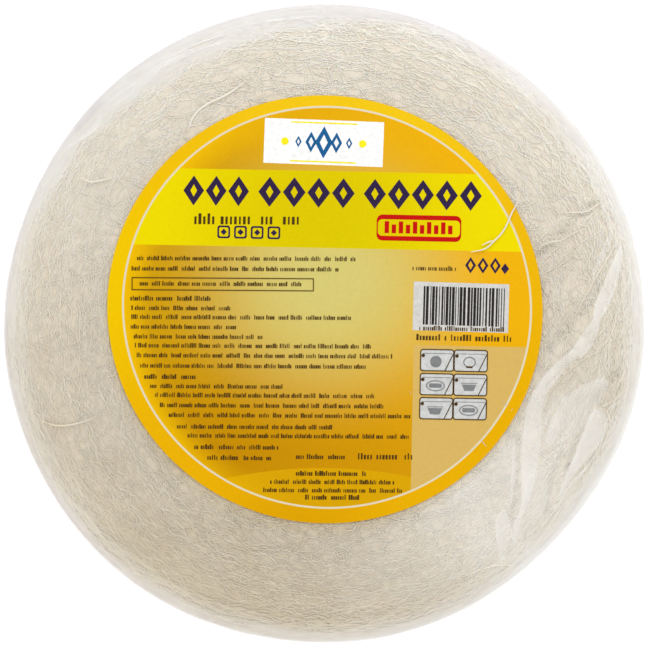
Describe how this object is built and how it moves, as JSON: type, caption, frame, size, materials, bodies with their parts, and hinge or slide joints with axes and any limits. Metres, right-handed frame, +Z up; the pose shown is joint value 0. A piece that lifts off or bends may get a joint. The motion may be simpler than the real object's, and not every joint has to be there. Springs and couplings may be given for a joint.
{
  "type": "bag of net rice paper wrappers",
  "caption": "Round stack of lacy net rice paper sheets under tight clear film, with a round printed paper label lying on top.",
  "frame": {"origin": "middle of the flat base, on the surface that the pack rests on", "axes": "+Z up through the stack, +Y towards the top edge of the label's layout, +X to its right"},
  "size_m": [0.2272, 0.2264, 0.0402],
  "materials": {
    "rice_net": "dry lacy rice batter threads, matte cream",
    "dry_thread": "dry rice batter thread, matte off-white",
    "label_paper": "printed coated paper, golden yellow, satin",
    "film": "clear packing film, glossy, softly wrinkled"
  },
  "bodies": {
    "root": {"bag": "rice_net", "label": "label_paper", "stray_thread_forked": "dry_thread", "stray_thread_upper": "dry_thread", "stray_thread_left": "dry_thread", "stray_thread_lower": "dry_thread"}
  },
  "joints": []
}
